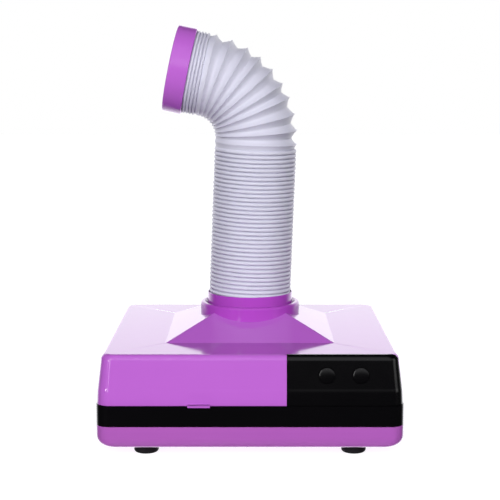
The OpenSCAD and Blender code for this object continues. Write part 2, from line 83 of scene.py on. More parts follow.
# ---------- Studio ----------
# A light table, a bright white wall behind it, and a wide soft glow in front, like a tent
# light that ends just above the horizon. Two fills light matt faces without a reflection, and
# two strips and a spot draw lines down the glossy corners.
def linear(code):
    """sRGB hex to linear colour: v / 12.92 up to 0.04045, ((v + 0.055) / 1.055) ^ 2.4 above."""
    v = np.array([int(code[i:i + 2], 16) for i in (0, 2, 4)]) / 255
    v = np.where(v <= 0.04045, v / 12.92, ((v + 0.055) / 1.055) ** 2.4)
    return (*v.tolist(), 1.0)


def add_node(tree, kind, sockets=None, **settings):
    """One node with its settings. Each socket gets a value, or a link from another output."""
    node = tree.nodes.new("ShaderNode" + kind)
    for name, value in settings.items():
        setattr(node, name, value)
    for key, value in (sockets or {}).items():
        if isinstance(value, bpy.types.NodeSocket):
            tree.links.new(value, node.inputs[key])
        else:
            node.inputs[key].default_value = value
    return node


def blank_material(name):
    """A material with an empty tree."""
    made = bpy.data.materials.new(name)
    made.use_nodes = True
    made.node_tree.nodes.clear()
    return made, made.node_tree


scene.view_settings.view_transform = "Standard"

world = bpy.data.worlds.new("studio")
scene.world = world
world.use_nodes = True
sky = world.node_tree
sky.nodes.clear()
wall_light, tent_light, room_light = 1.95, 0.6, 0.03
tent_height = math.radians(18)
tent_middle = (0, -math.cos(tent_height), math.sin(tent_height))
direction = add_node(sky, "TexCoord").outputs["Generated"]
parts = add_node(sky, "SeparateXYZ", {"Vector": direction})
# the wall glows behind the object and fades out above it, where low_wall ends
wall_glow = add_node(sky, "MapRange", {"Value": parts.outputs["Y"], "From Min": 0.35,
                                       "From Max": 0.85, "To Min": room_light,
                                       "To Max": wall_light}, interpolation_type="SMOOTHSTEP")
low_wall = add_node(sky, "MapRange", {"Value": parts.outputs["Z"], "From Min": 0.35,
                                      "From Max": 0.6, "To Min": 1.0, "To Max": 0.0},
                    interpolation_type="SMOOTHSTEP")
to_tent = add_node(sky, "VectorMath", {0: direction, 1: tent_middle}, operation="DOT_PRODUCT")
tent_glow = add_node(sky, "MapRange", {"Value": to_tent.outputs["Value"], "From Min": 0.5,
                                       "From Max": 0.95, "To Max": tent_light},
                     interpolation_type="SMOOTHSTEP")
above = add_node(sky, "MapRange", {"Value": parts.outputs["Z"], "From Min": 0.02,
                                   "From Max": 0.22}, interpolation_type="SMOOTHSTEP")
front_glow = add_node(sky, "Math", {0: tent_glow.outputs["Result"], 1: above.outputs["Result"]},
                      operation="MULTIPLY")
glow = add_node(sky, "Math", {0: wall_glow.outputs["Result"], 1: low_wall.outputs["Result"],
                              2: front_glow.outputs[0]}, operation="MULTIPLY_ADD")
lit = add_node(sky, "Background", {"Color": linear("fbfbff"), "Strength": glow.outputs[0]})
# the camera sees plain white paper behind the object
paper = add_node(sky, "Background", {"Color": linear("ffffff"), "Strength": 1.0})
seen = add_node(sky, "LightPath").outputs["Is Camera Ray"]
both = add_node(sky, "MixShader", {0: seen, 1: lit.outputs[0], 2: paper.outputs[0]})
add_node(sky, "OutputWorld", {"Surface": both.outputs[0]})

table_half = 6.0
table_corners = table_half * np.array([(-1, -1, 0), (1, -1, 0), (1, 1, 0), (-1, 1, 0)])
table_mesh = bpy.data.meshes.new("table")
table_mesh.from_pydata(table_corners.tolist(), [], [(0, 1, 2, 3)])
table = bpy.data.objects.new("table", table_mesh)
scene.collection.objects.link(table)
table.visible_glossy = False
table.visible_diffuse = False
table.visible_shadow = False
table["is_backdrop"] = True
# The table glows as a light table does, fully from 1.2 m outwards, and takes a faint shadow.
table_finish, tree = blank_material("matt white light table")
place = add_node(tree, "TexCoord").outputs["Object"]
reach = add_node(tree, "VectorMath", {0: place}, operation="LENGTH")
lamp = add_node(tree, "MapRange", {"Value": reach.outputs["Value"], "From Min": 0.2,
                                   "From Max": 1.2, "To Min": 0.84, "To Max": 1.0})
top = add_node(tree, "BsdfPrincipled", {"Base Color": linear("a8a8aa"), "Roughness": 0.9,
                                        "Emission Color": linear("ffffff"),
                                        "Emission Strength": lamp.outputs["Result"]})
add_node(tree, "OutputMaterial", {"Surface": top.outputs[0]})
table_mesh.materials.append(table_finish)


def soft_light(name, place, width, height, power, shows=True):
    """A rectangular light at a place in metres, turned towards the middle of the object, with
    its power in watts. One that doesn't show lights the object without a reflection in it."""
    light = bpy.data.lights.new(name, "AREA")
    light.shape = "RECTANGLE"
    light.size = width
    light.size_y = height
    light.energy = power
    holder = bpy.data.objects.new(name, light)
    holder.location = place
    holder.visible_glossy = shows
    towards = Vector((0, 0, 0.15)) - Vector(place)
    holder.rotation_euler = towards.to_track_quat("-Z", "Y").to_euler()
    scene.collection.objects.link(holder)


soft_light("front_fill", (0, -2.2, 1.05), 1.6, 0.8, 48, shows=False)
soft_light("under_fill", (-0.1, -0.15, -1.1), 1.0, 1.0, 12, shows=False)
soft_light("right_strip", (1.75, -0.8, 0.5), 0.8, 1.0, 2.6)
soft_light("left_strip", (-0.9, -1.9, 0.62), 0.2, 1.15, 4.5)
soft_light("left_spot", (-1.54, -1.81, 0.27), 0.36, 0.18, 4.0)


# ---------- Base pan ----------
# The purple tray that carries everything: one ABS moulding with a generous round along its
# bottom edge, four sunk screw wells, and hollow pillars for the fan and the power board.
def span(node):
    """Lowest and highest corner of a piece of the model, in millimetres."""
    low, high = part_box(node)
    return np.array(low) * 1000, np.array(high) * 1000


def outline(half_x, half_y, radius, arc_steps=9, side_steps=12):
    """Rectangles with round corners, anticlockwise, one for each entry: every point is
    (half - radius) times a corner sign plus radius times (cos a, sin a), and along a side
    the corner sign runs evenly to the next corner while the angle stays."""
    signs = np.array([(1, 1), (-1, 1), (-1, -1), (1, -1)], float)
    sign, normal = [], []
    for q in range(4):
        a = np.radians(np.linspace(q * 90, q * 90 + 90, arc_steps + 1))
        t = np.arange(1, side_steps)[:, None] / side_steps
        sign += [np.repeat(signs[q:q + 1], arc_steps + 1, 0),
                 signs[q] + (signs[(q + 1) % 4] - signs[q]) * t]
        turn = np.stack([np.cos(a), np.sin(a)], 1)
        normal += [turn, np.repeat(turn[-1:], side_steps - 1, 0)]
    sign, normal = np.concatenate(sign), np.concatenate(normal)
    half = np.stack(np.broadcast_arrays(half_x, half_y), -1).astype(float)
    radius = np.broadcast_to(radius, half.shape[:1]).astype(float)[:, None]
    return (half - radius)[:, None] * sign + radius[:, None] * normal


def square_rows(levels):
    """Rows of points from levels of (height, half-width, corner radius)."""
    z, half, radius = np.array(levels, float).T
    flat = outline(half, half, radius)
    return np.dstack([flat, np.broadcast_to(z[:, None], flat.shape[:2])])


def arc(centre, radius, first, last, step=10):
    """Points centre + radius (cos a, sin a) from the first to the last angle, in degrees."""
    a = np.radians(np.linspace(first, last, max(2, round(abs(last - first) / step) + 1)))
    return np.stack([centre[0] + radius * np.cos(a), centre[1] + radius * np.sin(a)], 1)


def around(columns):
    """Angles evenly round a circle: 2 pi i / columns."""
    return np.arange(columns) / columns * 2 * np.pi


def lathe(profile, origin=(0, 0, 0), turn=np.eye(3), columns=128):
    """A profile of (radius, height) turned about Z: (r cos u, r sin u, z). The result is
    rotated by a 3 x 3 matrix and moved to its origin."""
    r, z = np.array(profile, float).T
    u = around(columns)
    points = np.stack([np.outer(r, np.cos(u)), np.outer(r, np.sin(u)),
                       np.broadcast_to(z[:, None], (len(z), columns))], -1)
    return points @ np.array(turn).T + np.array(origin, float)


def rod(x, y, z, radius, columns=32):
    """An upright cylinder between two heights: its half section turned about its axis."""
    section = [(0, z[0]), (radius, z[0]), (radius, z[1]), (0, z[1])]
    return lathe(section, (x, y, 0), columns=columns)


def build(name, *grids):
    """One mesh in metres from grids of points in millimetres. Rows run along a profile, and
    columns go round and close. Points that coincide are merged, so that a row of one point
    is a pole and a first row repeated at the end closes the profile."""
    points, faces, start = [], [], 0
    for grid in grids:
        index = start + np.arange(grid.shape[0] * grid.shape[1]).reshape(grid.shape[:2])
        turned = np.roll(index, -1, axis=1)
        faces.append(np.stack([index[:-1], turned[:-1], turned[1:], index[1:]], -1).reshape(-1, 4))
        points.append(grid.reshape(-1, 3))
        start += index.size
    mesh = bpy.data.meshes.new(name)
    mesh.from_pydata((np.concatenate(points) / 1000).tolist(), [], np.concatenate(faces).tolist())
    work = bmesh.new()
    work.from_mesh(mesh)
    bmesh.ops.remove_doubles(work, verts=work.verts, dist=1e-6)
    bmesh.ops.recalc_face_normals(work, faces=work.faces)
    work.to_mesh(mesh)
    work.free()
    piece = bpy.data.objects.new(name, mesh)
    scene.collection.objects.link(piece)
    return piece


def settle(piece):
    """Writes a piece's modifiers into its mesh."""
    shown = piece.evaluated_get(bpy.context.evaluated_depsgraph_get())
    shaped = bpy.data.meshes.new_from_object(shown)
    shaped.name = piece.name
    piece.modifiers.clear()
    piece.data = shaped


def cut(piece, *tools):
    """Takes each tool's volume away from a piece, and removes the tool."""
    for tool in tools:
        hole = piece.modifiers.new("hole", "BOOLEAN")
        hole.solver = "EXACT"
        hole.object = tool
    settle(piece)
    for tool in tools:
        bpy.data.objects.remove(tool)


def merge(piece, other):
    """Adds another piece's mesh to a piece."""
    work = bmesh.new()
    work.from_mesh(piece.data)
    work.from_mesh(other.data)
    work.to_mesh(piece.data)
    work.free()
    bpy.data.objects.remove(other)


def smooth(piece, sharp=20, has_flats=True):
    """Rounds run smooth and edges over the sharp angle stay crisp. On a piece that has them,
    flat faces stay flat up to their rounds."""
    piece.data.shade_smooth()
    piece.data.set_sharp_from_angle(angle=math.radians(sharp))
    if has_flats:
        piece.modifiers.new("flat faces", "WEIGHTED_NORMAL").keep_sharp = True


def fit(piece, body, slot, finish, *nodes):
    """Gives a piece its material, lets it stand for plain pieces of the model, and fixes it
    to a body."""
    piece.data.materials.clear()
    piece.data.materials.append(finish)
    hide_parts(*nodes)
    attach(piece, body)


def moulded_abs(name, colour, shade, roughness, peel):
    """Moulded ABS. The colour drifts between two tones over about 70 mm and the roughness by
    a few hundredths over 20 mm, as the melt cooled. A bump of the given height in millimetres
    and 3 mm across is the slight orange peel of a polished mould."""
    made, tree = blank_material(name)
    place = add_node(tree, "TexCoord").outputs["Object"]
    flow = add_node(tree, "TexNoise", {"Vector": place, "Scale": 1 / 0.07, "Detail": 2.0})
    tone = add_node(tree, "MixRGB", {"Fac": flow.outputs["Fac"], "Color1": linear(colour),
                                     "Color2": linear(shade)})
    polish = add_node(tree, "TexNoise", {"Vector": place, "Scale": 1 / 0.02, "Detail": 3.0})
    gloss = add_node(tree, "MapRange", {"Value": polish.outputs["Fac"], "To Min": roughness - 0.03,
                                        "To Max": roughness + 0.03})
    ripple = add_node(tree, "TexNoise", {"Vector": place, "Scale": 1 / 0.003, "Detail": 1.0})
    relief = add_node(tree, "Bump", {"Height": ripple.outputs["Fac"], "Distance": peel / 1000})
    skin = add_node(tree, "BsdfPrincipled", {"Base Color": tone.outputs["Color"], "IOR": 1.52,
                                             "Roughness": gloss.outputs["Result"],
                                             "Normal": relief.outputs["Normal"]})
    add_node(tree, "OutputMaterial", {"Surface": skin.outputs[0]})
    return made


# Polished purple ABS: a clear, slightly milky violet under a hard gloss.
purple_abs = moulded_abs("polished purple ABS", "b763ca", "b35fc6", 0.10, 0.0015)

wall = 2.6
edge = 0.4
corner_r = 12
corner_taper = 0.3
pan_low, pan_high = span("base_pan")
half = pan_high[0]
inner_half, inner_r = half - wall, corner_r - wall
pan_foot, pan_top = pan_low[2], span("mid_frame")[0][2]
pan_edge_r = 12


def corner_radius(level_half):
    """Radius of the upright corners where the body is that wide: it tightens by the taper for
    each millimetre that the body is narrower."""
    return corner_r - (half - level_half) * corner_taper


def pan_wall(inset):
    """Levels of the pan round the bottom edge, foot + r (1 - cos a) high and half - r (1 -
    sin a) wide, up to the wall. The inset gives the inner side."""
    turn = np.radians(np.arange(0, 91, 9))
    z = pan_foot + inset + pan_edge_r * (1 - np.cos(turn))
    level = half - pan_edge_r * (1 - np.sin(turn))
    return np.stack([z, level - inset, corner_radius(level) - inset], 1)


outside, inside = pan_wall(0), pan_wall(wall)
lip = [(pan_top - edge, half, corner_r), (pan_top, half - edge, corner_r - edge),
       (pan_top, inner_half + edge, inner_r + edge), (pan_top - edge, inner_half, inner_r)]
pan = build("purple_base_pan", square_rows(np.concatenate([
    [(pan_foot, 0, 0)], outside, lip, inside[::-1], [(pan_foot + wall, 0, 0)]])))

# sunk wells for the screws that hold the pan and the middle frame together
screw_reach = 112
screw_at = [(x, y) for y in (-screw_reach, screw_reach) for x in (-screw_reach, screw_reach)]
well_r, shank_r, pilot_r, pillar_r = 3.6, 1.8, 1.5, 5
well_foot, well_top, pillar_top = pan_foot + 0.5, pan_foot + 7, pan_top + 4
cut(pan, *[build("well", rod(x, y, (pan_foot - 1, well_top - 1), well_r)) for x, y in screw_at])
well = [(well_r, well_foot), (well_r, well_top), (shank_r, well_top), (shank_r, pillar_top),
        (pillar_r, pillar_top), (pillar_r, well_foot), (well_r, well_foot)]
merge(pan, build("wells", *[lathe(well, (x, y, 0), columns=32) for x, y in screw_at]))

# three tall pillars carry the fan, and four short ones the power board
fan_at = np.array([80, 20])
ear_r, ear_angles = 48.5, np.radians((125, 235, 315))
ears = fan_at + ear_r * np.stack([np.cos(ear_angles), np.sin(ear_angles)], 1)
board_at = [(x, y) for y in (64, 99) for x in (-111, -29)]
tall_foot, fan_rest = 12, 44
tall = [(pilot_r, tall_foot), (pilot_r, fan_rest - 0.6), (pilot_r + 0.6, fan_rest),
        (pillar_r - 0.6, fan_rest), (pillar_r, fan_rest - 0.6), (pillar_r + 0.2, tall_foot),
        (pilot_r, tall_foot)]
short_foot, board_rest, short_pilot, short_r = 11.2, 20, 1.2, 3.5
short = [(short_pilot, short_foot), (short_pilot, board_rest), (short_r - 0.3, board_rest),
         (short_r, board_rest - 0.3), (short_r + 0.1, short_foot), (short_pilot, short_foot)]
merge(pan, build("pillars", *[lathe(tall, (x, y, 0), columns=32) for x, y in ears],
                 *[lathe(short, (x, y, 0), columns=32) for x, y in board_at]))
smooth(pan)
# the pan has the same purple ABS a tone darker: a painted shade for the lower light that falls on
# the pan's walls
pan_abs_painted_shade = moulded_abs("polished purple ABS, tone darker as painted shade", "a95bb2", "a557ae", 0.12, 0.0015)
fit(pan, "housing", "purple_abs", pan_abs_painted_shade, "base_pan")


# ---------- Feet ----------
# Four black rubber pads with a rounded sole, each pushed into a hole in the pan by its stem.
rubber, tree = blank_material("black moulded rubber")
place = add_node(tree, "TexCoord").outputs["Object"]
# talc left on the rubber: grey patches about 4 mm wide
bloom = add_node(tree, "TexNoise", {"Vector": place, "Scale": 1 / 0.004, "Detail": 4.0})
tone = add_node(tree, "MixRGB", {"Fac": bloom.outputs["Fac"], "Color1": linear("0b0b0c"),
                                 "Color2": linear("1d1d1f")})
grain = add_node(tree, "TexNoise", {"Vector": place, "Scale": 1 / 0.0006, "Detail": 2.0})
relief = add_node(tree, "Bump", {"Height": grain.outputs["Fac"], "Distance": 0.00003})
skin = add_node(tree, "BsdfPrincipled", {"Base Color": tone.outputs["Color"], "Roughness": 0.7,
                                         "IOR": 1.52, "Normal": relief.outputs["Normal"]})
add_node(tree, "OutputMaterial", {"Surface": skin.outputs[0]})

foot_r, sole_round = 11.2, 2.6
stem_r, stem_top = 3, pan_foot + 4
foot_profile = np.concatenate([
    [(0, 0)], arc((foot_r - sole_round, sole_round), sole_round, -90, 0, 15),
    [(foot_r, pan_foot), (stem_r, pan_foot), (stem_r - 0.1, stem_top - 0.4),
     (stem_r - 0.6, stem_top), (0, stem_top)]])
for side in ("front_left", "front_right", "rear_left", "rear_right"):
    low, high = span("foot_" + side)
    middle = ((low[0] + high[0]) / 2, (low[1] + high[1]) / 2, 0)
    pad = build("rubber_foot_" + side, lathe(foot_profile, middle, columns=64))
    smooth(pad, 40)
    fit(pad, "housing", "rubber", rubber, "foot_" + side)


# ---------- Middle frame ----------
# The black band: a straight ABS wall with a deck across it. The deck has a window under the
# drawer's filter and one for the fan, and the wall a slot for the mains inlet.
# Satin black ABS: almost no colour of its own, so it shows mostly what it reflects.
black_abs = moulded_abs("satin black ABS", "030304", "060507", 0.18, 0.003)


def block(x, y, z, radius=0.4):
    """A closed box with round edges: outlines that shrink by radius (1 - sin a) towards the
    bottom and the top, and meet at a pole in each face."""
    a = np.radians(np.arange(0, 91, 30))
    shrink, rise = radius * (1 - np.sin(a)), radius * (1 - np.cos(a))
    height = np.concatenate([z[0] + rise, z[1] - rise[::-1]])
    shrink = np.concatenate([shrink, shrink[::-1]])
    hx, hy = (x[1] - x[0]) / 2, (y[1] - y[0]) / 2
    flat = outline(hx - shrink, hy - shrink, np.maximum(radius - shrink, 0), 3, 1)
    rows = np.dstack([flat, np.broadcast_to(height[:, None], flat.shape[:2])])
    ends = [np.broadcast_to((0, 0, level), (1, rows.shape[1], 3)) for level in z]
    return np.concatenate([ends[0], rows, ends[1]]) + ((x[0] + x[1]) / 2, (y[0] + y[1]) / 2, 0)


deck_top = span("mid_frame")[1][2]
deck_under = deck_top - wall
band = build("black_middle_frame", square_rows([
    (deck_top, 0, 0), (deck_top, half - edge / 2, corner_r - edge / 2),
    (deck_top - edge / 2, half, corner_r), (pan_top + edge, half, corner_r),
    (pan_top, half - edge, corner_r - edge), (pan_top, inner_half + edge, inner_r + edge),
    (pan_top + edge, inner_half, inner_r), (deck_under, inner_half, inner_r),
    (deck_under, 0, 0)]))
filter_low, filter_high = span("filter_frame")
fan_bay_x, fan_bay_y = (44, 128), (-96, 98)
inlet_x, inlet_z = (-101.1, -78.9), (33.4, 45.6)
through = (deck_under - 1, deck_top + 1)
roof_screws = [(-118, 118), (84, 118), (118, -104), (36, -100)]
cut(band,
    build("window", block((filter_low[0], filter_high[0]), (filter_low[1], filter_high[1]),
                          through, 1)),
    build("bay", block(fan_bay_x, fan_bay_y, through, 1)),
    build("slot", block(inlet_x, (half - 5, half + 2), inlet_z, 0.3)),
    *[build("screw_hole", rod(x, y, through, shank_r, 24)) for x, y in roof_screws])
boss_foot = pillar_top + 0.2
boss = [(pilot_r, boss_foot), (pilot_r, deck_top - 4), (pillar_r, deck_top - 2.2),
        (pillar_r, boss_foot), (pilot_r, boss_foot)]
merge(band, build("bosses", *[lathe(boss, (x, y, 0), columns=32) for x, y in screw_at]))
smooth(band)
fit(band, "housing", "black_abs", black_abs, "mid_frame")


# ---------- Screws, shaft and motor ----------
# Zinc-plated steel: self-tapping pan-head screws, the motor's drawn can and its turned shaft.
# Plating gives a soft grey shine with faint streaks along the wire or the draw.
zinc, tree = blank_material("zinc-plated steel")
place = add_node(tree, "TexCoord").outputs["Object"]
along = add_node(tree, "Mapping", {"Vector": place, "Scale": (1 / 0.0015, 1 / 0.0015, 1 / 0.02)})
streak = add_node(tree, "TexNoise", {"Vector": along.outputs["Vector"], "Scale": 1.0,
                                     "Detail": 3.0})
tone = add_node(tree, "MixRGB", {"Fac": streak.outputs["Fac"], "Color1": linear("b9bcc2"),
                                 "Color2": linear("d6d8dc")})
gloss = add_node(tree, "MapRange", {"Value": streak.outputs["Fac"], "To Min": 0.24, "To Max": 0.42})
metal = add_node(tree, "BsdfPrincipled", {"Base Color": tone.outputs["Color"], "Metallic": 1.0,
                                          "Roughness": gloss.outputs["Result"]})
add_node(tree, "OutputMaterial", {"Surface": metal.outputs[0]})


def dress(finish, *names):
    """Gives pieces of the model, whose shape stays, a material."""
    for name in names:
        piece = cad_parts[name]
        if not piece.material_slots:
            piece.data.materials.append(finish)
        for material_slot in piece.material_slots:
            material_slot.material = finish


dress(zinc, "base_screws", "top_screws", "motor", "motor_screws", "motor_shaft", "impeller_nut",
      "scroll_screws", "board_screws", "control_screws", "drawer_screws", "tact_switches")


# ---------- Fan ----------
# A centrifugal wheel of grey polypropylene in a black spiral casing, on rubber pads that
# keep the motor's hum out of the pan.
# Polypropylene: waxy, half matt, with the mould's fine spark texture.
grey_pp, tree = blank_material("spark-textured grey polypropylene")
place = add_node(tree, "TexCoord").outputs["Object"]
wax = add_node(tree, "TexNoise", {"Vector": place, "Scale": 1 / 0.05, "Detail": 2.0})
tone = add_node(tree, "MixRGB", {"Fac": wax.outputs["Fac"], "Color1": linear("8f9196"),
                                 "Color2": linear("9a9ca1")})
spark = add_node(tree, "TexNoise", {"Vector": place, "Scale": 1 / 0.0005, "Detail": 2.0})
relief = add_node(tree, "Bump", {"Height": spark.outputs["Fac"], "Distance": 0.00002})
skin = add_node(tree, "BsdfPrincipled", {"Base Color": tone.outputs["Color"], "Roughness": 0.5,
                                         "IOR": 1.49, "Normal": relief.outputs["Normal"]})
add_node(tree, "OutputMaterial", {"Surface": skin.outputs[0]})
dress(grey_pp, "impeller")
dress(rubber, "motor_pads")
dress(black_abs, "scroll_casing", "scroll_cover", "exhaust_grille")


# ---------- Power and control boards ----------
# Glass-epoxy boards under green solder mask, with a taped transformer and capacitors. The
# mains inlet is a black figure-eight socket in the rear wall.
mask, tree = blank_material("green solder mask")
place = add_node(tree, "TexCoord").outputs["Object"]
# copper tracks under the mask, a shade lighter, 9.86 mm apart along the board: a diagonal wave
# of scale 1 repeats every pi / 5
track_pitch = 0.00986
tracks = add_node(tree, "TexWave", {"Vector": place, "Scale": math.pi / 5 / track_pitch,
                                    "Distortion": 3.0, "Detail": 1.0},
                  wave_type="BANDS", bands_direction="DIAGONAL")
step = add_node(tree, "MapRange", {"Value": tracks.outputs["Fac"], "From Min": 0.55,
                                   "From Max": 0.65})
tone = add_node(tree, "MixRGB", {"Fac": step.outputs["Result"], "Color1": linear("0d4a26"),
                                 "Color2": linear("17663a")})
skin = add_node(tree, "BsdfPrincipled", {"Base Color": tone.outputs["Color"], "Roughness": 0.3})
add_node(tree, "OutputMaterial", {"Surface": skin.outputs[0]})
dress(mask, "power_board", "control_board")

tape, tree = blank_material("polyester transformer tape")
place = add_node(tree, "TexCoord").outputs["Object"]
# turns of tape: one band every 11.84 mm up the winding; a wave of scale 1 repeats every pi / 10
tape_pitch = 0.01184
turns = add_node(tree, "TexWave", {"Vector": place, "Scale": math.pi / 10 / tape_pitch,
                                   "Distortion": 0.4}, wave_type="BANDS", bands_direction="Z")
tone = add_node(tree, "MixRGB", {"Fac": turns.outputs["Fac"], "Color1": linear("c9a32b"),
                                 "Color2": linear("dcb945")})
skin = add_node(tree, "BsdfPrincipled", {"Base Color": tone.outputs["Color"], "Roughness": 0.35})
add_node(tree, "OutputMaterial", {"Surface": skin.outputs[0]})
dress(tape, "board_parts")
dress(black_abs, "power_socket")


# ---------- Upper housing ----------
# The purple lid: a thin ABS shell with a soft crease round its walls, a rounded top edge and
# a low square pyramid in the middle, which ends in the seat for the collar. Behind the
# drawer front and the control panel it has an upright wall with the drawer's opening.
top_z, crease_z = 94, 62
crease_half, foot_half = half - 1.6, half - 0.8
face_tilt, foot_tilt = math.radians(6.15), math.radians(2.8)
crease_w = 5
round_w, round_h = 4.6, 6
shoulder_z = top_z - round_h
shoulder_half = crease_half - (shoulder_z - crease_z) * math.tan(face_tilt)
plate_half = shoulder_half - round_w
hood_half, hood_slope, hood_drop = 78, 0.458, 2.8
collar_r, neck_r = 48, 43.5


def upper_walls(inset=0.0):
    """Levels from the foot to the top plate. The wall leans by foot_tilt below the crease and
    by face_tilt above it, joined as t t (3 - 2 t) over crease_w. The top edge is a quarter of
    an ellipse, round_w wide and round_h high."""
    bend_low = crease_z - crease_w / 2
    z = np.concatenate([[deck_top + edge], np.linspace(bend_low, bend_low + crease_w, 15),
                        [shoulder_z]])
    lower = foot_half - (z - deck_top) * math.tan(foot_tilt)
    upper = crease_half - (z - crease_z) * math.tan(face_tilt)
    t = np.clip((z - bend_low) / crease_w, 0, 1)
    level = lower + (upper - lower) * t * t * (3 - 2 * t)
    turn = np.radians(np.arange(9, 91, 9))
    z = np.concatenate([z, shoulder_z + round_h * np.sin(turn)])
    level = np.concatenate([level, shoulder_half - round_w * (1 - np.cos(turn))])
    height = np.maximum(z - inset, deck_top)
    return np.stack([height, level - inset, corner_radius(level) - inset], 1)


def trim(piece, point, normal, close=True):
    """Cuts a piece at a plane, in millimetres, drops the side that the normal points to, and
    closes the cut if asked."""
    work = bmesh.new()
    work.from_mesh(piece.data)
    whole = work.verts[:] + work.edges[:] + work.faces[:]
    made = bmesh.ops.bisect_plane(work, geom=whole, dist=1e-7, plane_co=np.array(point) / 1000,
                                  plane_no=normal, clear_outer=True)
    if close:
        rim = [e for e in made["geom_cut"] if isinstance(e, bmesh.types.BMEdge)]
        bmesh.ops.edgeloop_fill(work, edges=rim)
    bmesh.ops.recalc_face_normals(work, faces=work.faces)
    work.to_mesh(piece.data)
    work.free()


# directions from the middle to the top plate's edge, 1 long, and ending on a square of half 1
plate_edge = outline([plate_half], [plate_half], corner_radius(plate_half))[0]
ray = plate_edge / np.linalg.norm(plate_edge, axis=1)[:, None]
square_ray = ray / np.abs(ray).max(1)[:, None]


def level_row(points, z):
    """A row of plan points at one height or at a height each."""
    return np.dstack([points[None], np.broadcast_to(z, len(points))[None]])


def hood_z(points):
    """Height of the pyramid: it rises by its slope from the edge of its square base."""
    return top_z + hood_slope * (hood_half - np.abs(points).max(1))


def on_hood(points, drop=0):
    """A row of plan points on the pyramid, or that far below its surface."""
    return level_row(points, hood_z(points) - drop)


roof_under = top_z - wall
seat_z, ledge_z, neck_z = 98, 105, 107.5
hood_foot, hood_opening = square_ray * hood_half, square_ray * 75
neck, recess, throat = ray * neck_r, ray * collar_r, ray * (collar_r + 4)
lid = build("purple_upper_housing", np.concatenate([
    level_row(neck, seat_z), level_row(neck, ledge_z), level_row(recess, neck_z),
    on_hood(recess), level_row(hood_foot, top_z),
    square_rows(upper_walls()[::-1]),
    square_rows([(deck_top, foot_half - edge, corner_r - edge),
                 (deck_top, foot_half - wall, inner_r)]),
    square_rows(upper_walls(wall)),
    level_row(hood_opening, roof_under), on_hood(hood_opening, hood_drop),
    on_hood(throat, hood_drop), level_row(throat, seat_z), level_row(neck, seat_z)]))
tray_low, tray_high = span("drawer_tray")
seam_y = tray_low[1]
wall_y = seam_y + 0.2
trim(lid, (0, wall_y, 0), (0, -1, 0))

# the exhaust port in the leaning rear wall
rear_tilt = Matrix.Rotation(face_tilt - math.pi / 2, 3, "X")
grille_x, grille_z = 108, 65
grille_y = crease_half - (grille_z - crease_z) * math.tan(face_tilt)
port_half_w, port_half_h, port_depth = 14.1, 11.1, (-8, 4)
port = block((-port_half_w, port_half_w), (-port_half_h, port_half_h), port_depth, 0.3)
cut(lid, build("port", port @ np.array(rear_tilt).T + (grille_x, grille_y, grille_z)))

# the upright wall, with openings for the drawer and behind the buttons, in blocks that overlap
bay_left, bay_right, bay_top = tray_low[0] - 1, tray_high[0] + 1, tray_high[2] + 1
gap_left, gap_right, gap_foot = 46, 121, 65
plate_y = (wall_y, wall_y + wall)
side_x, eave_z, eave_x = shoulder_half - 1, shoulder_z - 1, plate_half - 1
merge(lid, build("bulkhead", block((-side_x, bay_left), plate_y, (deck_top, eave_z)),
                 block((-eave_x, eave_x), plate_y, (bay_top, roof_under + 1)),
                 block((bay_right, gap_left), plate_y, (deck_top, eave_z)),
                 block((gap_left - 1, side_x), plate_y, (deck_top, gap_foot)),
                 block((gap_right, side_x), plate_y, (gap_foot - 1, eave_z))))
# posts for the roof's screws, but for the one beside the drawer
post = [(pilot_r, deck_top), (pilot_r, deck_top + 12), (pillar_r, deck_top + 14),
        (pillar_r, roof_under + 0.4), (pillar_r - 0.4, deck_top + 0.4),
        (pillar_r - 0.8, deck_top), (pilot_r, deck_top)]
merge(lid, build("posts", *[lathe(post, (x, y, 0), columns=32) for x, y in roof_screws[:3]]))
smooth(lid)
fit(lid, "housing", "purple_abs", purple_abs, "top_housing")


# ---------- Inlet chute and tray seal ----------
# A grey duct plate under the roof leads the air from the hose down into the drawer, and a
# rubber gasket below it rests on the tray's rim.
dress(grey_pp, "inlet_chute", "drawer_rail_left", "drawer_rail_right")
dress(rubber, "tray_seal")


# ---------- Collar ----------
# The deeper purple ring that holds the hose: it is pressed into the hood's seat and its wide
# rim has a round outer edge and a chamfer on the inside.
# The same ABS with more pigment, so the ring and the sleeve look a tone richer.
deep_abs = moulded_abs("polished magenta-purple ABS", "ab47bc", "a643b7", 0.12, 0.0015)

cuff_low, cuff_high = span("hose_cuff")
cuff_r = cuff_high[0]
rim_z = span("collar")[1][2]
rim_round, lip_round = 2.2, 0.8
collar_bore, socket_r, socket_foot = 38.5, cuff_r + 0.12, cuff_low[2] - 0.2
collar_profile = np.concatenate([
    [(collar_bore, seat_z), (neck_r - 0.1, seat_z), (neck_r - 0.1, ledge_z),
     (collar_r - 0.1, neck_z + 0.3)],
    arc((collar_r - rim_round, rim_z - rim_round), rim_round, 0, 90),
    arc((cuff_r + 3.2, rim_z - lip_round), lip_round, 90, 130),
    [(cuff_r + 0.6, rim_z - 3.6), (socket_r, rim_z - 4.4), (socket_r, socket_foot),
     (collar_bore, socket_foot), (collar_bore, seat_z)]])
collar = build("deep_purple_collar", lathe(collar_profile, columns=160))
smooth(collar, 35)
fit(collar, "housing", "purple_abs", deep_abs, "collar")


